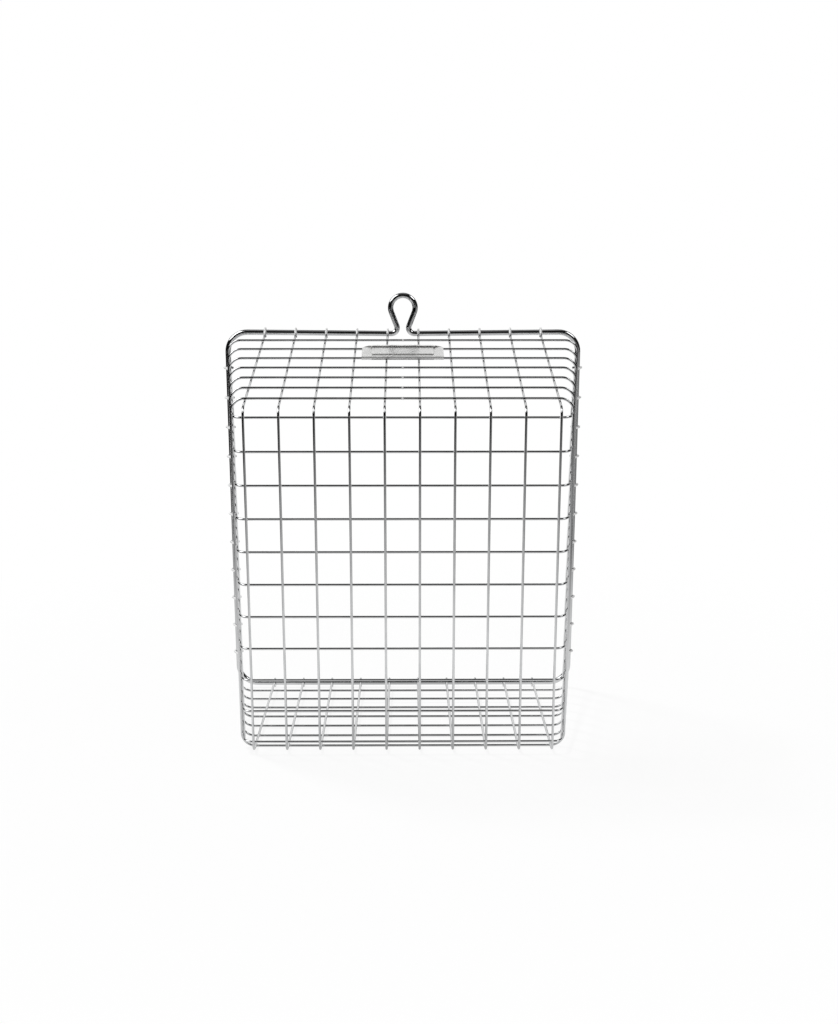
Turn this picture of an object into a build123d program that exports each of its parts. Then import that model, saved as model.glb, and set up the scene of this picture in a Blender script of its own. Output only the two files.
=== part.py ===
"""Chromed wire locker basket, built as the wires, hoops, rim rod and label plate that it is welded from.

The basket is described in its own frame first: X across it, Y along its depth from the closed face
(Y = 0, the plane of the cross wires) to the open rim, and Z towards the wall that carries the label.
It stands on the opposite wall, so that frame is then leaned back until the wall's end hoop and the
wire hooks under the rim touch the ground together. The part's own frame is +Z up, with its origin
at the bottom centre of its bounding box. Sizes are millimetres.
"""
from build123d import *
from math import asin, atan, atan2, cos, degrees, hypot, radians, sin, tan
import os

os.makedirs("parts", exist_ok=True)

# Stock
rod_diameter = 4.8             # rim rod
wire_diameter = 1.9            # mesh wire
weld_gap = 0.02                # between two crossing wires, which a spot weld joins
hook_clearance = 0.1           # between a hooked wire end and the rim rod

# Rim, measured to the rod's centre line
rim_width = 304.0
rim_height = 327.6
rim_corner_radius = 17.0
rim_sag = 1.4                  # how far the label side's rod dips beside the hasp loop

# Hasp loop, bent up from the middle of the rim rod
loop_radius = 10.6             # round end of the loop, to the rod's centre line
loop_leg_angle = 21.0          # each leg leans out from the neck by this much, in degrees
neck_gap = 5.2                 # clear width between the two legs
neck_bend_radius = 5.0

# Mesh
basket_depth = 194.7           # closed face to rim rod
mesh_pitch = 26.5              # spacing of the wires on the closed face
long_wire_count = 10
cross_wire_count = 11
hoop_count = 7
hoop_pitch = 25.4
hoop_setback = 16.4            # closed face to the first hoop
hoop_corner_radius = 11.0
face_half_width = 126.4        # side walls' wires, at the closed face
face_half_height = 139.8       # the other two walls' wires, at the closed face
leg_inset = 1.7                # wall wires aim this far inside the rod's centre line
face_bend_radius = 6.6         # wires, where the closed face turns into a wall

# Hooks that wrap the wire ends round the rim rod
hook_run_up = 9.0              # the wire starts to climb over the rod this far in front of it
hook_crest = 1.5               # and is over it this far in front of its centre
hook_bend_radius = 3.0
hook_tail = 1.0

# Butt weld at the top of each hoop
weld_bead_radius = 1.1
weld_bead_length = 2.0

# Label plate, one sheet that lies over two hoops of the upper wall
plate_hoop = 5                 # the nearer of its two hoops, counted from the closed face
plate_length = 67.5
plate_sheet = 0.5
hoop_fit = 0.2                 # between the sheet and a hoop
curl_turn = 110.0              # how far the far edge curls round its hoop, in degrees from the top
flange_drop = 0.8              # how far the near edge hangs below its hoop's centre
hem_length = 51.0              # middle of the near edge, which flares forward
hem_height = 0.7
hem_flare = 0.45
hem_bend_radius = 0.5
lip_length = 49.0              # middle of the far edge, which stands up and folds forward
lip_shoulder = 8.0             # over this length at each end the lip slopes down to the sheet
lip_height = 1.7
lip_fold = 3.2
lip_bend_radius = 0.8
card_length = 51.0
card_thickness = 0.7
card_setback = 4.8             # from the nearer hoop to the card's front edge
card_tuck = 0.4                # thickness of the card's rear edge, which is tucked under the lip
card_step = 0.3                # from the lip's front edge to where the card gets its full thickness

rod_radius = rod_diameter / 2
wire_radius = wire_diameter / 2
crossing = wire_diameter + weld_gap
rim_half_width = rim_width / 2
rim_half_height = rim_height / 2
hook_radius = rod_radius + wire_radius + hook_clearance


def wall_line(at_face, at_rim):
    """Height of a wall's wires above the basket's axis, as a function of the depth."""
    slope = (at_rim - leg_inset - at_face) / basket_depth
    return lambda depth: at_face + slope * depth


long_wall = wall_line(face_half_height, rim_half_height)
side_wall = wall_line(face_half_width, rim_half_width)
long_wall_slope = atan(long_wall(1) - long_wall(0))
hoop_lift = crossing / cos(long_wall_slope)
hoop_depths = [hoop_setback + n * hoop_pitch for n in range(hoop_count)]

# The lean: one straight line touches, from below, the first hoop and the bends where the wires' hooks
# climb round the lower rim rod
climb = rim_half_height + hook_radius - long_wall(basket_depth - hook_run_up)
climb_angle = atan2(climb, hook_run_up - hook_crest)
first_hoop = (hoop_depths[0], -long_wall(hoop_depths[0]) - hoop_lift)
foot = (basket_depth - hook_crest + hook_bend_radius * tan(climb_angle / 2),
        hook_bend_radius - hook_radius - rim_half_height)
run, drop = foot[0] - first_hoop[0], first_hoop[1] - foot[1]
lean = degrees(atan2(drop, run) + asin(hook_bend_radius / hypot(run, drop)))
lean_cos, lean_sin = cos(radians(lean)), sin(radians(lean))

# The bend that sticks out furthest in front, and the hooks that stick out furthest behind
bend_turn = radians(90) - long_wall_slope
face_bend = (face_bend_radius - crossing, long_wall(-crossing) - face_bend_radius * tan(bend_turn / 2))
front = face_bend[0] * lean_cos - face_bend[1] * lean_sin - face_bend_radius - wire_radius
back = basket_depth * lean_cos + rim_half_height * lean_sin + hook_radius + wire_radius
ground = first_hoop[0] * lean_sin + first_hoop[1] * lean_cos - wire_radius
basket = Plane(origin=(0, -(front + back) / 2, -ground), x_dir=(1, 0, 0), z_dir=(0, -lean_sin, lean_cos))


def across(depth):
    """The plane parallel to the closed face at a depth, drawn in X and Z of the basket."""
    return Plane(basket.from_local_coords((0, depth, 0)), x_dir=basket.x_dir, z_dir=-basket.y_dir)


def along(x):
    """The plane that cuts the basket along its depth at x, drawn in Y and Z of the basket."""
    return Plane(basket.from_local_coords((x, 0, 0)), x_dir=basket.y_dir, z_dir=basket.x_dir)


def level(z):
    """The plane at a height over the basket's axis, drawn in X and Y of the basket."""
    return Plane(basket.from_local_coords((0, 0, z)), x_dir=basket.x_dir, z_dir=basket.z_dir)


def end_section(path, radius):
    """A round section at the start of a path."""
    with BuildSketch(Plane(origin=path @ 0, z_dir=path % 0)) as section:
        Circle(radius)
    return section.sketch


def run_up(wall, rod_height):
    """Corners of a wire from the top of the rod to where it meets its wall, as (depth, height) pairs."""
    start = basket_depth - hook_run_up
    crest = rod_height + hook_radius
    return [(basket_depth, crest), (basket_depth - hook_crest, crest), (start, wall(start))]


def hooked_wire(plane, corners):
    """A mesh wire drawn in a plane through its corners, with both ends hooked round the rim rod."""
    bends = [hook_bend_radius, hook_bend_radius, face_bend_radius]
    with BuildPart() as wire:
        with BuildLine(plane) as wire_path:
            body = FilletPolyline(*corners, radius=bends + bends[::-1])
            first_hook = JernArc(body @ 0, -(body % 0), hook_radius, -180)
            first_tail = Line(first_hook @ 1, first_hook @ 1 + (first_hook % 1) * hook_tail)
            last_hook = JernArc(body @ 1, body % 1, hook_radius, 180)
            Line(last_hook @ 1, last_hook @ 1 + (last_hook % 1) * hook_tail)
        with BuildSketch(Plane(origin=first_tail @ 1, z_dir=first_tail % 1)):
            Circle(wire_radius)
        sweep(path=wire_path.line)
    return wire.part


# The hasp loop: necks, legs and the round eye join tangentially
neck_x = neck_gap / 2 + rod_radius + neck_bend_radius
neck_z = rim_half_height - rim_sag
rod_dip = degrees(atan(rim_sag / (rim_half_width - neck_x)))
leg = radians(loop_leg_angle)
leg_length = ((loop_radius + neck_bend_radius) * cos(leg) - neck_x) / sin(leg)


def sagged_rod_height(x):
    """Height of the rim rod on the label side, which dips from its corners to the loop."""
    return rim_half_height - rim_sag * (rim_half_width - abs(x)) / (rim_half_width - neck_x)


# Rim rod: a rounded rectangle with the hasp loop in the middle of its upper side
neck_turn = 90 + loop_leg_angle + rod_dip

with BuildPart() as rim_rod:
    with BuildLine(across(basket_depth)) as rim_path:
        frame_side = FilletPolyline(
            (-neck_x, neck_z),
            (-rim_half_width, rim_half_height),
            (-rim_half_width, -rim_half_height),
            (rim_half_width, -rim_half_height),
            (rim_half_width, rim_half_height),
            (neck_x, neck_z),
            radius=rim_corner_radius,
        )
        right_neck = JernArc(frame_side @ 1, frame_side % 1, neck_bend_radius, -neck_turn)
        right_leg = PolarLine(right_neck @ 1, leg_length, 90 - loop_leg_angle)
        eye = JernArc(right_leg @ 1, right_leg % 1, loop_radius, 180 + 2 * loop_leg_angle)
        left_leg = PolarLine(eye @ 1, leg_length, loop_leg_angle - 90)
        JernArc(left_leg @ 1, left_leg % 1, neck_bend_radius, -neck_turn)
    sweep(end_section(frame_side, rod_radius), rim_path.line)
rim_rod.part.label = "rim_rod"
export_step(rim_rod.part, "parts/rim_rod.step")

# Long wires: each hooks over the upper rod, comes down the upper wall, crosses the closed face and
# goes back along the lower wall to hook round the lower rod
face_corner = (-crossing, long_wall(-crossing))

for n in range(long_wire_count):
    x = (n - (long_wire_count - 1) / 2) * mesh_pitch
    upper = run_up(long_wall, sagged_rod_height(x)) + [face_corner]
    lower = run_up(long_wall, rim_half_height) + [face_corner]
    corners = upper + [(depth, -height) for depth, height in lower[::-1]]
    long_wire = hooked_wire(along(x), corners)
    long_wire.label = f"long_wire_{n + 1:02d}"
    export_step(long_wire, f"parts/{long_wire.label}.step")

# Cross wires: inside the long wires on the closed face, then back along both side walls
side = run_up(side_wall, rim_half_width) + [(0, side_wall(0))]
corners = [(-x, depth) for depth, x in side] + [(x, depth) for depth, x in side[::-1]]

for n in range(cross_wire_count):
    z = ((cross_wire_count - 1) / 2 - n) * mesh_pitch
    cross_wire = hooked_wire(level(z), corners)
    cross_wire.label = f"cross_wire_{n + 1:02d}"
    export_step(cross_wire, f"parts/{cross_wire.label}.step")

# Hoops: butt-welded rounded rectangles round the outside of all four walls
for n, depth in enumerate(hoop_depths):
    half_width = side_wall(depth) + hoop_lift
    half_height = long_wall(depth) + hoop_lift
    with BuildPart() as hoop:
        with BuildLine(across(depth)):
            hoop_path = FilletPolyline(
                (-half_width, half_height),
                (-half_width, -half_height),
                (half_width, -half_height),
                (half_width, half_height),
                radius=hoop_corner_radius,
                close=True,
            )
        sweep(end_section(hoop_path, wire_radius), hoop_path)
        with BuildSketch(along(-weld_bead_length / 2)):
            with Locations((depth, half_height)):
                Circle(weld_bead_radius)
        extrude(amount=weld_bead_length)
    name = f"hoop_{n + 1}"
    hoop.part.label = name
    export_step(hoop.part, f"parts/{name}.step")

# Label plate and its blank card: U runs from the nearer hoop's centre to the further one's, V outwards
wall_direction = basket.y_dir * cos(long_wall_slope) + basket.z_dir * sin(long_wall_slope)
plate_depth = hoop_depths[plate_hoop - 1]
plate_height = long_wall(plate_depth) + hoop_lift
hoop_gap = hoop_pitch / cos(long_wall_slope)
plate_reach = wire_radius + hoop_fit + plate_sheet
sheet_middle = plate_reach - plate_sheet / 2
lip_wall = hoop_gap + sheet_middle
lip_base = lip_length + 2 * lip_shoulder


def plate_section(x):
    """The plane across the label plate at x, drawn in U and V."""
    origin = basket.from_local_coords((x, plate_depth, plate_height))
    return Plane(origin, x_dir=wall_direction, z_dir=basket.x_dir)


def plate_outline(v):
    """The plane of the label plate at a height over the hoops' centres, drawn in X and U."""
    middle = plate_section(0)
    return Plane(middle.from_local_coords((0, v)), x_dir=basket.x_dir, z_dir=middle.y_dir)


with BuildPart() as label_plate:
    with BuildSketch(plate_section(-plate_length / 2)):
        with BuildLine():
            Line((0, sheet_middle), (hoop_gap, sheet_middle))
        trace(line_width=plate_sheet)
    extrude(amount=plate_length)
    # The near edge: bent down in front of its hoop, with a flared hem in the middle
    with BuildSketch(plate_section(-plate_length / 2)):
        with BuildLine():
            FilletPolyline(
                (hoop_gap / 2, sheet_middle),
                (-sheet_middle, sheet_middle),
                (-sheet_middle, -flange_drop),
                radius=hem_bend_radius,
            )
        trace(line_width=plate_sheet)
    extrude(amount=plate_length)
    with BuildSketch(plate_section(-hem_length / 2)):
        with BuildLine():
            FilletPolyline(
                (-sheet_middle, sheet_middle - 2 * hem_bend_radius),
                (-sheet_middle, hem_height - flange_drop),
                (-sheet_middle - hem_flare, -flange_drop),
                radius=hem_bend_radius,
            )
        trace(line_width=plate_sheet)
    extrude(amount=hem_length)
    # The far edge: the lip, and a curled tab at each end of it
    with BuildSketch(plate_section(-lip_base / 2)):
        with BuildLine():
            FilletPolyline(
                (hoop_gap - lip_fold, sheet_middle),
                (lip_wall, sheet_middle),
                (lip_wall, sheet_middle + lip_height),
                (lip_wall - lip_fold, sheet_middle + lip_height),
                radius=lip_bend_radius,
            )
        trace(line_width=plate_sheet)
    extrude(amount=lip_base)
    with BuildSketch(plate_section(-plate_length / 2), plate_section(lip_base / 2)):
        with BuildLine():
            CenterArc((hoop_gap, 0), sheet_middle, 90, -curl_turn)
        trace(line_width=plate_sheet)
    extrude(amount=(plate_length - lip_base) / 2)
    # Round the near corners and slope the lip's ends
    with BuildSketch(Plane(plate_outline(0).origin, x_dir=basket.x_dir, z_dir=-wall_direction)):
        with BuildLine():
            Polyline(
                (-plate_length / 2, -plate_reach - flange_drop),
                (-plate_length / 2, plate_reach),
                (-lip_base / 2, plate_reach),
                (-lip_length / 2, plate_reach + lip_height),
                (lip_length / 2, plate_reach + lip_height),
                (lip_base / 2, plate_reach),
                (plate_length / 2, plate_reach),
                (plate_length / 2, -plate_reach - flange_drop),
                close=True,
            )
        make_face()
    extrude(amount=hoop_gap + 2 * plate_reach, both=True, mode=Mode.INTERSECT)
label_plate.part.label = "label_plate"
export_step(label_plate.part, "parts/label_plate.step")

card_end = lip_wall - lip_bend_radius
face_end = lip_wall - lip_fold - card_step

with BuildPart() as label_card:
    for end, thickness in ((card_end, card_tuck), (face_end, card_thickness)):
        with BuildSketch(plate_outline(plate_reach)):
            with Locations((0, (card_setback + end) / 2)):
                Rectangle(card_length, end - card_setback)
        extrude(amount=thickness)
label_card.part.label = "label_card"
export_step(label_card.part, "parts/label_card.step")
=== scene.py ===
"""Dresses the wire cage basket: chrome and satin finishes, weld nuggets, studio floor, lamps and camera."""

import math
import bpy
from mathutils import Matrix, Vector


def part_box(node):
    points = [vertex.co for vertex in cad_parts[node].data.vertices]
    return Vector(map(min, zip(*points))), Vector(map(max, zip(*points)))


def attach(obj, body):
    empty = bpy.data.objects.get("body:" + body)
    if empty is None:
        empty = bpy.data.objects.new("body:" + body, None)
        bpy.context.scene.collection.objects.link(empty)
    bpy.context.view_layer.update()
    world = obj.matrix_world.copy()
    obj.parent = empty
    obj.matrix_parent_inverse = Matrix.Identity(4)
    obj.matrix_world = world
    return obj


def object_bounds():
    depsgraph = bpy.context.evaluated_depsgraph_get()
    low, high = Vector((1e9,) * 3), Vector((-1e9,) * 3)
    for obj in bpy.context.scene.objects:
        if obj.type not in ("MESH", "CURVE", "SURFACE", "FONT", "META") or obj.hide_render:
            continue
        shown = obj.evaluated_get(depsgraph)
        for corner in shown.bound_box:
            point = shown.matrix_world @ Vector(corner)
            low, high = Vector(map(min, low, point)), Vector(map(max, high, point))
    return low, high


bl_info = {
    "name": "Wire Cage Basket",
    "version": (1, 0, 0),
    "blender": (4, 5, 0),
    "location": "3D View > Sidebar > Basket",
    "description": "Finishes, welds and studio for a chromed wire cage basket",
    "category": "Object",
}

import bpy
from bpy.props import (
    FloatProperty,
    FloatVectorProperty,
    IntProperty,
    PointerProperty,
)
from mathutils import Vector

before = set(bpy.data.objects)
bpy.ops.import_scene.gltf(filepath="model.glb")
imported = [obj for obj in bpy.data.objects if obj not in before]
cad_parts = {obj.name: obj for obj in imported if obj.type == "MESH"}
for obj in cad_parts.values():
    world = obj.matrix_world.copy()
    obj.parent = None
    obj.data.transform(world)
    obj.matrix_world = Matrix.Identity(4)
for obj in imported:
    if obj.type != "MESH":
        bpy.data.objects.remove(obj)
cad_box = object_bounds()

LONG_WIRES = sorted(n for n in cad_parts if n.startswith("long_wire"))
CROSS_WIRES = sorted(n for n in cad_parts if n.startswith("cross_wire"))
HOOPS = sorted(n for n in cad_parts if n.startswith("hoop"))

WIRE_RADIUS = (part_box(LONG_WIRES[0])[1].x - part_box(LONG_WIRES[0])[0].x) / 2
BEAD_RADIUS = 0.0011  # of the butt weld, which stands proud in the middle of each hoop's upper side
CONTACT_GAP = 0.00002  # between two welded wires
HOOK_DEPTH = 0.007  # how far a wire's hook reaches down from its crest
HOOK_FADE = 0.003  # over which the painted highlight on a hook, a matte white, fades out
BEAD_PAINTED_GLINT = 0.8  # how far a butt weld bead takes the matte white of the painted highlight

# Size of the patches of haze on each kind of piece
ROD_HAZE = 0.03
WIRE_HAZE = 0.018
HOOP_HAZE = 0.022
WELD_HAZE = 0.006
HAZE_START, HAZE_FULL = 0.42, 0.72  # between these values of the noise, clean plate turns hazy

WHITE = (1.0, 1.0, 1.0, 1.0)

# Distances across the floor and the ceiling from the middle of the basket
UNDER_START, UNDER_END = 0.08, 0.18  # where the shade under the basket ends
RIGHT_START, RIGHT_END = 0.45, 0.8  # where the lighter floor on the right begins
BEHIND_START, BEHIND_END = 0.1, 0.5  # where the white floor behind begins
BEHIND_SPREAD = 1.2  # how fast that part widens: depth over width
OWN_START, OWN_END = 0.35, 0.8  # where shadows on the floor fade out
OVERHEAD_START, OVERHEAD_END = 0.5, 1.1  # where the lighter ceiling ends

LEFT_SOFTBOX_PLACE = (-1.25, -0.35, 1.4)
RIGHT_SOFTBOX_PLACE = (1.2, -0.5, 1.35)
KEY_DIRECTION = (0.45, -0.35, -0.82)


def colour_property(name, description, default):
    return FloatVectorProperty(
        name=name, description=description, default=default, subtype="COLOR", min=0.0, max=1.0
    )


def length_property(name, description, default):
    return FloatProperty(
        name=name, description=description, default=default, subtype="DISTANCE", unit="LENGTH", min=0.0
    )


def share_property(name, description, default):
    return FloatProperty(name=name, description=description, default=default, min=0.0, max=1.0)


def strength_property(name, description, default):
    return FloatProperty(name=name, description=description, default=default, min=0.0)


def angle_property(name, description, degrees):
    return FloatProperty(
        name=name, description=description, default=math.radians(degrees), subtype="ANGLE"
    )


# ---------------------------------------------------------------- sizes and colours that can be changed


class BasketChrome(bpy.types.PropertyGroup):
    colour: colour_property("Plate colour", "Colour of the chrome plate", (0.60, 0.605, 0.61))
    shade: colour_property("Haze colour", "Colour of the thin haze on the plate", (0.53, 0.535, 0.54))
    gloss: share_property("Clean roughness", "Roughness of the clean plate", 0.05)
    haze: share_property("Hazy roughness", "Roughness where the plate is hazy", 0.17)
    ripple: length_property("Ripple", "Depth of the shallow ripple left by drawing the wire", 0.00003)
    ripple_pitch: length_property("Ripple pitch", "Distance between ripples along the wire", 0.009)
    # Weld colour, roughness and matte set a painted highlight: matte white on hooks, butt weld beads and
    # weld nuggets, standing in for their glints
    painted_glint_colour: colour_property(
        "Weld colour", "Colour of the matte plate on welds and hooks", (0.93, 0.93, 0.93)
    )
    painted_glint_roughness: share_property("Weld roughness", "Roughness of welds and hooks", 0.5)
    painted_glint_matte: share_property("Weld matte", "How far welds and hooks are from bare metal", 0.85)


class BasketWelds(bpy.types.PropertyGroup):
    spread: length_property(
        "Nugget spread", "Radius of a weld nugget in the plane of its two wires", 0.0012
    )
    thickness: length_property("Nugget thickness", "Half the height of a nugget between its wires", 0.0007)
    segments: IntProperty(name="Segments", description="Sides of a nugget", default=10, min=4, max=24)
    rings: IntProperty(name="Rings", description="Rings of a nugget", default=6, min=3, max=12)
    variation: FloatProperty(
        name="Variation", description="How much the nuggets differ in size", default=0.18, min=0.0, max=0.5
    )
    seed: IntProperty(name="Seed", description="Seed of the nuggets' random sizes", default=7, min=0)


class BasketLabel(bpy.types.PropertyGroup):
    plate_colour: colour_property("Plate colour", "Colour of the label plate", (0.85, 0.85, 0.84))
    card_colour: colour_property("Card colour", "Colour of the blank card", (0.88, 0.88, 0.87))
    roughness: share_property("Roughness", "Roughness of the satin sheet", 0.3)
    metallic: share_property("Metallic", "Share of bare metal; the rest is a matte coat", 0.75)
    grain: length_property("Grain", "Width of one brush line", 0.00025)


class BasketStudio(bpy.types.PropertyGroup):
    floor_colour: colour_property("Floor colour", "Colour of the floor and backdrop", (0.93, 0.93, 0.93))
    reach: length_property("Floor reach", "Distance from the basket to each edge of the floor", 3.0)
    backdrop_distance: length_property("Backdrop distance", "Distance behind the basket", 1.5)
    backdrop_height: length_property("Backdrop height", "Height of the backdrop", 1.5)
    bare_light: share_property("Own light", "Share of the floor's white that needs no lamp", 0.88)
    bright_reach: length_property(
        "Bright reach", "How far from the basket metal sees the floor at its brightest", 0.25
    )
    dark_reach: length_property(
        "Dark reach", "How far from the basket metal sees the floor in front as dark", 0.88
    )
    under_light: share_property(
        "Light underneath", "Share of the floor's white that metal sees under the basket", 0.55
    )
    right_light: share_property(
        "Light on the right", "Share of the floor's white that metal sees far on the right", 0.3
    )
    room_distance: length_property("Room distance", "Distance from the basket to the room's walls", 2.6)
    room_height: length_property("Room height", "Height of the room's ceiling", 2.6)
    room_opening: angle_property("Room opening", "Angle behind the basket that the room leaves open", 80)
    room_colour: colour_property(
        "Room colour", "Colour of the walls and the outer ceiling", (0.012, 0.012, 0.012)
    )
    overhead_colour: colour_property(
        "Overhead colour", "Colour of the ceiling over the basket", (0.4, 0.4, 0.4)
    )
    world_light: strength_property("World light", "Strength of the even light from all round", 0.5)
    softbox_light: strength_property("Soft box light", "Brightness of the soft boxes", 4.0)
    left_softbox_size: length_property("Left soft box", "Side of the soft box on the left", 1.3)
    right_softbox_size: length_property("Right soft box", "Side of the soft box on the right", 0.7)
    key_strength: strength_property("Key lamp", "Strength of the key lamp", 1.9)
    key_angle: angle_property("Key lamp size", "How wide the key lamp looks from the basket", 12)


class BasketCamera(bpy.types.PropertyGroup):
    place: FloatVectorProperty(
        name="Place",
        description="Where the camera stands",
        default=(0.0038, -1.2421, 0.3781),
        subtype="XYZ",
    )
    tilt_down: angle_property("Tilt down", "How far the camera looks down", 8.95)
    turn_right: angle_property("Turn right", "How far the camera turns to the right", 0.44)
    lens: FloatProperty(name="Lens", description="Focal length in millimetres", default=52.95, min=1.0)


# ---------------------------------------------------------------- shader helpers


def new_material(name):
    material = bpy.data.materials.new(name)
    material.use_nodes = True
    tree = material.node_tree
    tree.nodes.clear()
    return material, tree


def add(tree, kind, inputs=None, **settings):
    """Adds a node, sets its attributes, and sets or links its inputs."""
    node = tree.nodes.new(kind)
    for key, value in settings.items():
        setattr(node, key, value)
    for key, value in (inputs or {}).items():
        if isinstance(value, bpy.types.NodeSocket):
            tree.links.new(value, node.inputs[key])
        else:
            node.inputs[key].default_value = value
    return node


def opaque(colour):
    return (*colour, 1.0)


def object_place(tree):
    return add(tree, "ShaderNodeTexCoord").outputs["Object"]


def split(tree, vector):
    """The X, Y and Z of a vector."""
    return add(tree, "ShaderNodeSeparateXYZ", {"Vector": vector}).outputs


def ramp(tree, value, start, end, first, last):
    """Goes from first to last as value goes from start to end, and stays there."""
    return add(
        tree,
        "ShaderNodeMapRange",
        {"Value": value, "From Min": start, "From Max": end, "To Min": first, "To Max": last},
    ).outputs["Result"]


def maths(tree, operation, first, second=0.0):
    return add(tree, "ShaderNodeMath", {0: first, 1: second}, operation=operation).outputs[0]


def noise(tree, vector, scale, detail, roughness=0.5):
    inputs = {"Vector": vector, "Scale": scale, "Detail": detail, "Roughness": roughness}
    return add(tree, "ShaderNodeTexNoise", inputs).outputs["Fac"]


def bumped(tree, height, strength, distance):
    inputs = {"Height": height, "Strength": strength, "Distance": distance}
    return add(tree, "ShaderNodeBump", inputs).outputs["Normal"]


def mix_colours(tree, share, first, second, blend_type="MIX"):
    """Mixes two colours; share 0 gives the first one."""
    node = tree.nodes.new("ShaderNodeMix")
    node.data_type = "RGBA"
    node.blend_type = blend_type
    sockets = {socket.identifier: socket for socket in node.inputs}
    for name, value in (("Factor_Float", share), ("A_Color", first), ("B_Color", second)):
        if isinstance(value, bpy.types.NodeSocket):
            tree.links.new(value, sockets[name])
        else:
            sockets[name].default_value = value
    return next(socket for socket in node.outputs if socket.identifier == "Result_Color")


def metal(tree, colour, roughness, normal, metallic):
    """A metal surface whose colour, roughness and normal come from nodes."""
    inputs = {"Base Color": colour, "Metallic": metallic, "Roughness": roughness, "Normal": normal}
    surface = add(tree, "ShaderNodeBsdfPrincipled", inputs).outputs["BSDF"]
    add(tree, "ShaderNodeOutputMaterial", {"Surface": surface})


def glowing(tree, colour, strength):
    """A surface that only gives off light."""
    glow = add(tree, "ShaderNodeEmission", {"Color": colour, "Strength": strength}).outputs[0]
    add(tree, "ShaderNodeOutputMaterial", {"Surface": glow})


def hook_painted_glint(tree, place):
    """Where the painted highlight goes: 1 on the hooks of the wires, which are their highest and outermost
    parts, and 0 elsewhere.
    """
    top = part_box(LONG_WIRES[0])[1].z
    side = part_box(CROSS_WIRES[0])[1].x
    parts = split(tree, place)
    aside = maths(tree, "ABSOLUTE", parts["X"])
    on_top, at_side = (
        ramp(tree, value, edge - HOOK_DEPTH, edge - HOOK_DEPTH + HOOK_FADE, 0.0, 1.0)
        for value, edge in ((parts["Z"], top), (aside, side))
    )
    return maths(tree, "MAXIMUM", on_top, at_side)


def bead_painted_glint(tree, place):
    """The bead's set share of painted highlight, a matte white, on the butt weld bead in the middle of a
    hoop's upper side, and 0 elsewhere.
    """
    middle = (cad_box[0].z + cad_box[1].z) / 2
    parts = split(tree, place)
    along = ramp(tree, maths(tree, "ABSOLUTE", parts["X"]), BEAD_RADIUS / 2, BEAD_RADIUS, BEAD_PAINTED_GLINT, 0.0)
    return maths(tree, "MULTIPLY", along, maths(tree, "GREATER_THAN", parts["Z"], middle))


def painted_glint_all_over(tree, place):
    """The share of painted highlight on a piece that has it all over, such as a weld nugget."""
    return 1.0


def no_painted_glint(tree, place):
    """The share of painted highlight on a piece that has none."""
    return 0.0


def chrome_material(name, look, haze_size, glint_mask=no_painted_glint):
    """Bright chrome with patches of haze and the shallow ripple of drawn wire, with a painted highlight of
    matte white where the given mask puts it.
    """
    material, tree = new_material(name)
    place = object_place(tree)
    cloud = noise(tree, place, 1 / haze_size, detail=5.0, roughness=0.6)
    patch = ramp(tree, cloud, HAZE_START, HAZE_FULL, 0.0, 1.0)
    # matte marks the painted highlight: matte white laid over the chrome
    matte = glint_mask(tree, place)
    clean = mix_colours(tree, patch, opaque(look.colour), opaque(look.shade))
    colour = mix_colours(tree, matte, clean, opaque(look.painted_glint_colour))
    polish = ramp(tree, patch, 0.0, 1.0, look.gloss, look.haze)
    roughness = maths(tree, "MAXIMUM", polish, maths(tree, "MULTIPLY", matte, look.painted_glint_roughness))
    metallic = maths(tree, "SUBTRACT", 1.0, maths(tree, "MULTIPLY", matte, look.painted_glint_matte))
    wave = noise(tree, place, 1 / look.ripple_pitch, detail=2.0)
    metal(tree, colour, roughness, bumped(tree, wave, 1.0, look.ripple), metallic)
    return material


def satin_material(name, colour, look):
    """Satin plated sheet: fine brush lines across the basket, with soft smudges."""
    line_length = 40  # in widths of a brush line
    line_depth = 0.00003
    spread = 0.08  # of the roughness from line to line
    smudges_per_metre, smudge_tone = 90.0, 0.88
    material, tree = new_material(name)
    place = object_place(tree)
    stretched = {"Vector": place, "Scale": (1 / line_length, 1.0, 1.0)}
    stretch = add(tree, "ShaderNodeMapping", stretched, vector_type="POINT").outputs["Vector"]
    lines = noise(tree, stretch, 1 / look.grain, detail=3.0, roughness=0.7)
    tone = ramp(tree, noise(tree, place, smudges_per_metre, detail=4.0), 0.3, 0.7, smudge_tone, 1.0)
    dimmed = mix_colours(tree, 1.0, opaque(colour), tone, "MULTIPLY")
    roughness = ramp(tree, lines, 0.3, 0.7, look.roughness - spread, look.roughness + spread)
    metal(tree, dimmed, roughness, bumped(tree, lines, 0.5, line_depth), look.metallic)
    return material


def finish_nodes(names, material):
    """Gives CAD nodes their material."""
    for name in names:
        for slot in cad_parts[name].material_slots:
            slot.material = material


# ---------------------------------------------------------------- weld nuggets


def unit(y, z):
    return Vector((0.0, y, z)).normalized()


def wire_planes():
    """Where the mesh's wires run on the closed face, and the direction straight in from that face."""
    long_places = [(low.x + high.x) / 2 for low, high in map(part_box, LONG_WIRES)]
    # The straight part of a cross wire on the closed face is its lowest and foremost part
    face_places = [low + Vector((0.0, WIRE_RADIUS, WIRE_RADIUS)) for low, _ in map(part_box, CROSS_WIRES)]
    upright = unit(face_places[0].y - face_places[-1].y, face_places[0].z - face_places[-1].z)
    if upright.z < 0:
        upright.negate()
    inward = Vector((0.0, upright.z, -upright.y))
    return long_places, face_places, inward


def hoop_sides():
    """Centre of each hoop's lower and upper side, and how far out its left and right sides are."""
    sides = []
    for low, high in map(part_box, HOOPS):
        lower = Vector((0.0, high.y - WIRE_RADIUS, low.z + WIRE_RADIUS))
        upper = Vector((0.0, low.y + BEAD_RADIUS, high.z - BEAD_RADIUS))
        sides.append((lower, upper, high.x - WIRE_RADIUS))
    return sides


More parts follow.
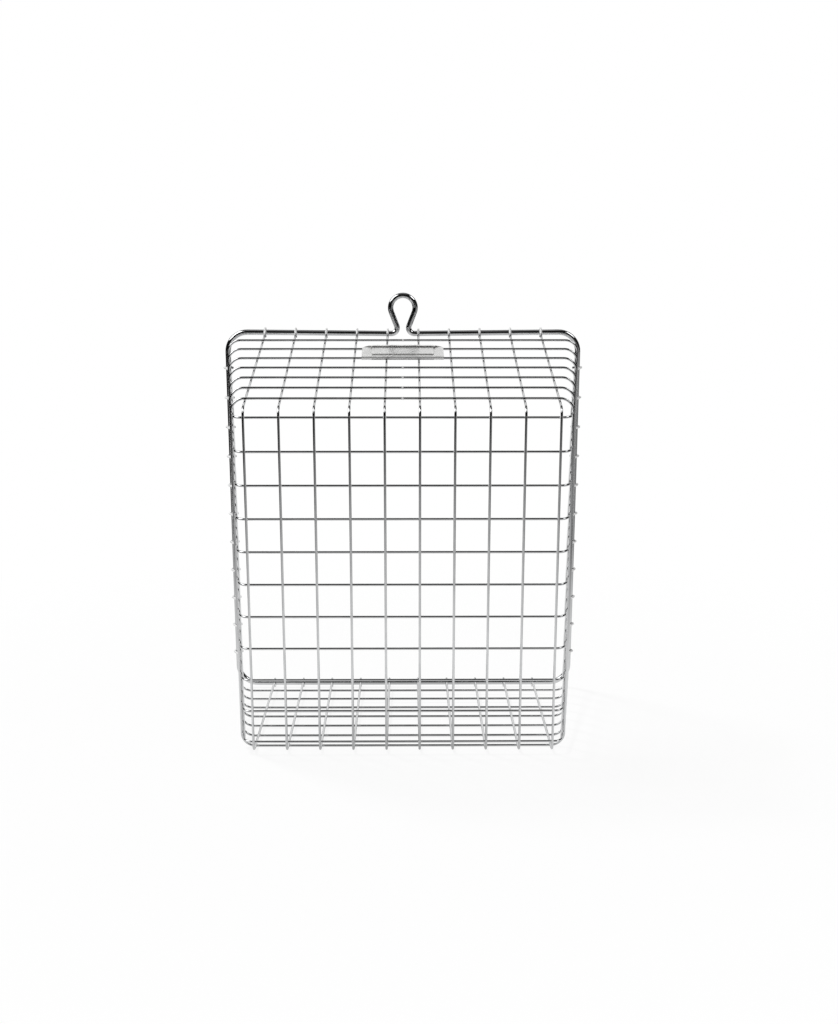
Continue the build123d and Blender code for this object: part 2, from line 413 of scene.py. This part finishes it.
def crossing_points():
    """A point where each pair of wires touches, with the direction from one wire to the other."""
    long_places, face_places, inward = wire_planes()
    sides = hoop_sides()
    half = WIRE_RADIUS + CONTACT_GAP / 2
    places, directions = [], []

    def weld(place, direction):
        places.append(place + direction * half)
        directions.append(direction)

    for centre in face_places:
        for x in long_places:
            weld(Vector((x, centre.y, centre.z)), -inward)
    (first_lower, first_upper, first_out), (last_lower, last_upper, last_out) = sides[0], sides[-1]
    upper_run = last_upper - first_upper
    lower_run = last_lower - first_lower
    under = unit(upper_run.z, -upper_run.y)
    over = unit(-lower_run.z, lower_run.y)
    run = upper_run.dot(inward)
    for lower, upper, out in sides:
        for x in long_places:
            weld(Vector((x, upper.y, upper.z)), under)
            weld(Vector((x, lower.y, lower.z)), over)
        for centre in face_places:
            place = centre + inward * (upper - centre).dot(inward)
            for side in (-1, 1):
                toward = (Vector((-side, 0.0, 0.0)) * run + inward * (last_out - first_out)).normalized()
                weld(Vector((side * out, place.y, place.z)), toward)
    mesh = bpy.data.meshes.new("crossings")
    mesh.from_pydata(places, [], [])
    facing = mesh.attributes.new("facing", "FLOAT_VECTOR", "POINT")
    facing.data.foreach_set("vector", [value for direction in directions for value in direction])
    points = bpy.data.objects.new("crossings", mesh)
    bpy.context.scene.collection.objects.link(points)
    return points


def nugget_tree():
    """Geometry Nodes: a flattened ball at each point, turned to face along its direction."""
    tree = bpy.data.node_groups.new("weld_nugget_nodes", "GeometryNodeTree")
    sockets = (
        ("Crossings", "NodeSocketGeometry"),
        ("Spread", "NodeSocketFloat"),
        ("Thickness", "NodeSocketFloat"),
        ("Segments", "NodeSocketInt"),
        ("Rings", "NodeSocketInt"),
        ("Variation", "NodeSocketFloat"),
        ("Seed", "NodeSocketInt"),
        ("Finish", "NodeSocketMaterial"),
    )
    for name, kind in sockets:
        tree.interface.new_socket(name, in_out="INPUT", socket_type=kind)
    tree.interface.new_socket("Nuggets", in_out="OUTPUT", socket_type="NodeSocketGeometry")
    given = add(tree, "NodeGroupInput").outputs
    sides = {"Segments": given["Segments"], "Rings": given["Rings"], "Radius": 1.0}
    ball = add(tree, "GeometryNodeMeshUVSphere", sides).outputs["Mesh"]
    radii = {"X": given["Spread"], "Y": given["Spread"], "Z": given["Thickness"]}
    flat = add(tree, "ShaderNodeCombineXYZ", radii).outputs["Vector"]
    smooth = add(tree, "GeometryNodeSetShadeSmooth", {"Geometry": ball}).outputs["Geometry"]
    nugget = add(tree, "GeometryNodeTransform", {"Geometry": smooth, "Scale": flat}).outputs["Geometry"]
    facing = add(tree, "GeometryNodeInputNamedAttribute", {"Name": "facing"}, data_type="FLOAT_VECTOR")
    turn = add(
        tree, "FunctionNodeAlignRotationToVector", {"Vector": facing.outputs["Attribute"]}, axis="Z"
    ).outputs["Rotation"]
    smallest = maths(tree, "SUBTRACT", 1.0, given["Variation"])
    largest = maths(tree, "ADD", 1.0, given["Variation"])
    size = random_value(tree, smallest, largest, given["Seed"])
    placed = add(
        tree,
        "GeometryNodeInstanceOnPoints",
        {"Points": given["Crossings"], "Instance": nugget, "Rotation": turn, "Scale": size},
    ).outputs["Instances"]
    real = add(tree, "GeometryNodeRealizeInstances", {"Geometry": placed}).outputs["Geometry"]
    finish = {"Geometry": real, "Material": given["Finish"]}
    finished = add(tree, "GeometryNodeSetMaterial", finish).outputs["Geometry"]
    add(tree, "NodeGroupOutput", {"Nuggets": finished})
    return tree


def random_value(tree, smallest, largest, seed):
    """A random number for each point. The node's hidden sockets share names with the open ones."""
    node = add(tree, "FunctionNodeRandomValue", data_type="FLOAT")
    sockets = {socket.name: socket for socket in node.inputs if socket.enabled}
    for name, value in (("Min", smallest), ("Max", largest), ("Seed", seed)):
        tree.links.new(value, sockets[name])
    return next(socket for socket in node.outputs if socket.enabled)


# ---------------------------------------------------------------- pieces of the basket


class BASKET_OT_rim(bpy.types.Operator):
    """Chrome plates the rim rod and its hasp loop"""

    bl_idname = "basket.rim"
    bl_label = "Rim rod"

    def execute(self, context):
        look = context.scene.basket_chrome
        finish_nodes(["rim_rod"], chrome_material("rod_chrome_plate", look, ROD_HAZE))
        return {"FINISHED"}


class BASKET_OT_mesh(bpy.types.Operator):
    """Chrome plates the long wires and the cross wires"""

    bl_idname = "basket.mesh"
    bl_label = "Mesh wires"

    def execute(self, context):
        look = context.scene.basket_chrome
        # The hooks get a painted highlight of matte white
        chrome = chrome_material("wire_chrome_plate", look, WIRE_HAZE, hook_painted_glint)
        finish_nodes(LONG_WIRES + CROSS_WIRES, chrome)
        return {"FINISHED"}


class BASKET_OT_hoops(bpy.types.Operator):
    """Chrome plates the hoops"""

    bl_idname = "basket.hoops"
    bl_label = "Hoops"

    def execute(self, context):
        look = context.scene.basket_chrome
        # The butt weld beads get a painted highlight of matte white
        finish_nodes(HOOPS, chrome_material("hoop_chrome_plate", look, HOOP_HAZE, bead_painted_glint))
        return {"FINISHED"}


class BASKET_OT_welds(bpy.types.Operator):
    """Sets a weld nugget where two wires cross, at all crossings"""

    bl_idname = "basket.welds"
    bl_label = "Weld nuggets"

    def execute(self, context):
        scene = context.scene
        points = crossing_points()
        tree = nugget_tree()
        modifier = points.modifiers.new("nuggets", "NODES")
        modifier.node_group = tree
        settings = scene.basket_welds
        values = {
            "Spread": settings.spread,
            "Thickness": settings.thickness,
            "Segments": settings.segments,
            "Rings": settings.rings,
            "Variation": settings.variation,
            "Seed": settings.seed,
            # Weld nuggets are matte white all over: a painted highlight
            "Finish": chrome_material("weld_nugget_painted_glint", scene.basket_chrome, WELD_HAZE, painted_glint_all_over),
        }
        for item in tree.interface.items_tree:
            if item.item_type == "SOCKET" and item.name in values:
                modifier[item.identifier] = values[item.name]
        evaluated = points.evaluated_get(context.evaluated_depsgraph_get())
        mesh = bpy.data.meshes.new_from_object(evaluated)
        points.modifiers.clear()
        bpy.data.objects.remove(points)
        mesh.name = "weld_nuggets"
        nuggets = bpy.data.objects.new("weld_nuggets", mesh)
        scene.collection.objects.link(nuggets)
        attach(nuggets, "root")
        return {"FINISHED"}


class BASKET_OT_label(bpy.types.Operator):
    """Gives the label plate and its blank card their satin finish"""

    bl_idname = "basket.label"
    bl_label = "Label plate and card"

    def execute(self, context):
        look = context.scene.basket_label
        finish_nodes(["label_plate"], satin_material("plate_satin", look.plate_colour, look))
        finish_nodes(["label_card"], satin_material("card_satin", look.card_colour, look))
        return {"FINISHED"}


# ---------------------------------------------------------------- studio


class BASKET_OT_stage(bpy.types.Operator):
    """Sets the floor, backdrop, room, lamps and camera"""

    bl_idname = "basket.stage"
    bl_label = "Studio"

    def execute(self, context):
        studio = context.scene.basket_studio
        make_floor(studio)
        make_room(studio)
        make_softbox("left", LEFT_SOFTBOX_PLACE, studio.left_softbox_size, studio.softbox_light)
        make_softbox("right", RIGHT_SOFTBOX_PLACE, studio.right_softbox_size, studio.softbox_light)
        make_world(studio)
        make_lamp(studio)
        make_camera(context.scene, context.scene.basket_camera)
        context.scene.view_settings.view_transform = "Standard"
        return {"FINISHED"}


def ray_kinds(tree):
    """1 for rays from the camera, and 1 for rays off metal or glass."""
    path = add(tree, "ShaderNodeLightPath").outputs
    return path["Is Camera Ray"], maths(tree, "MAXIMUM", path["Is Glossy Ray"], path["Is Transmission Ray"])


def mesh_object(name, vertices, faces, material):
    mesh = bpy.data.meshes.new(name)
    mesh.from_pydata(vertices, [], faces)
    mesh.materials.append(material)
    piece = bpy.data.objects.new(name, mesh)
    bpy.context.scene.collection.objects.link(piece)
    return piece


def swept_sheet(name, profile, half_width, material):
    """A sheet whose side view is a list of (y, z) points."""
    vertices = [(x, y, z) for y, z in profile for x in (-half_width, half_width)]
    faces = [(2 * n, 2 * n + 1, 2 * n + 3, 2 * n + 2) for n in range(len(profile) - 1)]
    sheet = mesh_object(name, vertices, faces, material)
    sheet.data.polygons.foreach_set("use_smooth", [True] * len(faces))
    return sheet


def distance_from_basket(tree):
    """Distance across the floor from the middle of the basket, and how far to its right and behind it."""
    place = object_place(tree)
    flattened = {0: place, 1: (1.0, 1.0, 0.0)}
    across = add(tree, "ShaderNodeVectorMath", flattened, operation="MULTIPLY").outputs["Vector"]
    away = add(tree, "ShaderNodeVectorMath", {0: across}, operation="LENGTH").outputs["Value"]
    parts = split(tree, place)
    return away, parts["X"], parts["Y"]


def paper_material(studio):
    """Matte white paper, with light of its own for the camera and for metal.

    Metal sees it bright near the basket, dimmer underneath, white behind and dark elsewhere.
    """
    material, tree = new_material("studio_paper")
    camera_ray, metal_ray = ray_kinds(tree)
    away, right, depth = distance_from_basket(tree)
    near = ramp(tree, away, studio.bright_reach, studio.dark_reach, 1.0, 0.0)
    under = ramp(tree, away, UNDER_START, UNDER_END, studio.under_light, 1.0)
    width = maths(tree, "MULTIPLY", maths(tree, "ABSOLUTE", right), BEHIND_SPREAD)
    behind = ramp(tree, maths(tree, "SUBTRACT", depth, width), BEHIND_START, BEHIND_END, 0.0, 1.0)
    on_the_right = ramp(tree, right, RIGHT_START, RIGHT_END, 0.0, studio.right_light)
    far = maths(tree, "MAXIMUM", behind, on_the_right)
    in_metal = maths(tree, "MAXIMUM", maths(tree, "MULTIPLY", near, under), far)
    strength = maths(tree, "MAXIMUM", in_metal, camera_ray)
    matte = add(tree, "ShaderNodeBsdfDiffuse", {"Color": opaque(studio.floor_colour)})
    glow = add(tree, "ShaderNodeEmission", {"Color": WHITE, "Strength": strength})
    own_light = ramp(tree, away, OWN_START, OWN_END, studio.bare_light, 1.0)
    share = maths(tree, "MAXIMUM", maths(tree, "MULTIPLY", camera_ray, own_light), metal_ray)
    mix = add(tree, "ShaderNodeMixShader", {0: share, 1: matte.outputs[0], 2: glow.outputs[0]})
    add(tree, "ShaderNodeOutputMaterial", {"Surface": mix.outputs[0]})
    return material


def make_floor(studio):
    """A floor that curves up into a backdrop behind the basket."""
    curve_radius = 0.4
    wall = cad_box[1].y + studio.backdrop_distance
    steps = 16
    profile = [(-studio.reach, 0.0)]
    for n in range(steps + 1):
        turn = math.pi / 2 * n / steps
        profile.append(
            (wall - curve_radius + curve_radius * math.sin(turn), curve_radius * (1 - math.cos(turn)))
        )
    profile.append((wall, studio.backdrop_height))
    swept_sheet("studio_floor", profile, studio.reach, paper_material(studio))


def only_in_metal(piece):
    """A part of the studio that is seen in polished metal alone."""
    for kind in ("camera", "diffuse", "transmission", "volume_scatter", "shadow"):
        setattr(piece, f"visible_{kind}", False)


def make_room(studio):
    """The dark room in front of and beside the basket, lighter overhead. Only metal shows it."""
    material, tree = new_material("room_wall")
    away, _, _ = distance_from_basket(tree)
    overhead = ramp(tree, away, OVERHEAD_START, OVERHEAD_END, 1.0, 0.0)
    colour = mix_colours(tree, overhead, opaque(studio.room_colour), opaque(studio.overhead_colour))
    glowing(tree, colour, 1.0)
    sides = 48
    radius = studio.room_distance
    ring = [(math.sin(2 * math.pi * n / sides), -math.cos(2 * math.pi * n / sides)) for n in range(sides)]
    vertices = [(radius * x, radius * y, z) for z in (0.0, studio.room_height) for x, y in ring]
    faces = []
    for n in range(sides):
        from_behind = abs(2 * math.pi * (n + 0.5) / sides - math.pi)
        if from_behind > studio.room_opening / 2:
            after = (n + 1) % sides
            faces.append((n, after, sides + after, sides + n))
    faces.append(tuple(sides + n for n in range(sides)))
    only_in_metal(mesh_object("studio_room", vertices, faces, material))


def make_softbox(side, place, size, light):
    """A soft box that gives the metal its highlights."""
    material, tree = new_material(f"{side}_softbox_cloth")
    glowing(tree, WHITE, light)
    turn = ((cad_box[0] + cad_box[1]) / 2 - Vector(place)).to_track_quat("-Z", "Y")
    square = ((-1, -1), (1, -1), (1, 1), (-1, 1))
    corners = [Vector(place) + turn @ Vector((x * size / 2, y * size / 2, 0)) for x, y in square]
    only_in_metal(mesh_object(f"studio_{side}_softbox", corners, [(0, 1, 2, 3)], material))


def make_world(studio):
    """Even light from all round, which looks white wherever it is seen."""
    world = bpy.data.worlds.new("studio_world")
    bpy.context.scene.world = world
    world.use_nodes = True
    tree = world.node_tree
    tree.nodes.clear()
    strength = ramp(tree, maths(tree, "MAXIMUM", *ray_kinds(tree)), 0.0, 1.0, studio.world_light, 1.0)
    background = add(tree, "ShaderNodeBackground", {"Color": WHITE, "Strength": strength})
    add(tree, "ShaderNodeOutputWorld", {"Surface": background.outputs[0]})


def make_lamp(studio):
    """One distant soft lamp, behind the basket on the left. Metal doesn't show it."""
    data = bpy.data.lights.new("key_lamp", "SUN")
    data.energy = studio.key_strength
    data.angle = studio.key_angle
    lamp = bpy.data.objects.new("key_lamp", data)
    bpy.context.scene.collection.objects.link(lamp)
    lamp.rotation_mode = "QUATERNION"
    lamp.rotation_quaternion = Vector(KEY_DIRECTION).to_track_quat("-Z", "Y")
    lamp.visible_glossy = False


def make_camera(scene, settings):
    data = bpy.data.cameras.new("studio_camera")
    data.lens = settings.lens
    camera = bpy.data.objects.new("studio_camera", data)
    scene.collection.objects.link(camera)
    camera.location = settings.place
    camera.rotation_euler = (math.pi / 2 - settings.tilt_down, 0.0, -settings.turn_right)
    scene.camera = camera


# ---------------------------------------------------------------- add-on


class BASKET_PT_panel(bpy.types.Panel):
    """Lists what the basket is dressed with"""

    bl_idname = "BASKET_PT_panel"
    bl_label = "Wire Cage Basket"
    bl_space_type = "VIEW_3D"
    bl_region_type = "UI"
    bl_category = "Basket"

    def draw(self, context):
        for group, operators in PANEL_LAYOUT.items():
            box = self.layout.box()
            settings = getattr(context.scene, group)
            for name in settings.__annotations__:
                box.prop(settings, name)
            for operator in operators:
                box.operator(operator.bl_idname)


SETTINGS = {
    "basket_chrome": BasketChrome,
    "basket_welds": BasketWelds,
    "basket_label": BasketLabel,
    "basket_studio": BasketStudio,
    "basket_camera": BasketCamera,
}
PANEL_LAYOUT = {
    "basket_chrome": (BASKET_OT_rim, BASKET_OT_mesh, BASKET_OT_hoops),
    "basket_welds": (BASKET_OT_welds,),
    "basket_label": (BASKET_OT_label,),
    "basket_studio": (BASKET_OT_stage,),
    "basket_camera": (),
}
OPERATORS = [operator for group in PANEL_LAYOUT.values() for operator in group]


def register():
    for kind in (*SETTINGS.values(), *OPERATORS, BASKET_PT_panel):
        bpy.utils.register_class(kind)
    for name, kind in SETTINGS.items():
        setattr(bpy.types.Scene, name, PointerProperty(type=kind))


def unregister():
    for name in SETTINGS:
        delattr(bpy.types.Scene, name)
    for kind in reversed((*SETTINGS.values(), *OPERATORS, BASKET_PT_panel)):
        bpy.utils.unregister_class(kind)


def main():
    register()
    for operator in OPERATORS:
        getattr(bpy.ops.basket, operator.bl_idname.split(".")[1])()


if __name__ == "__main__":
    main()
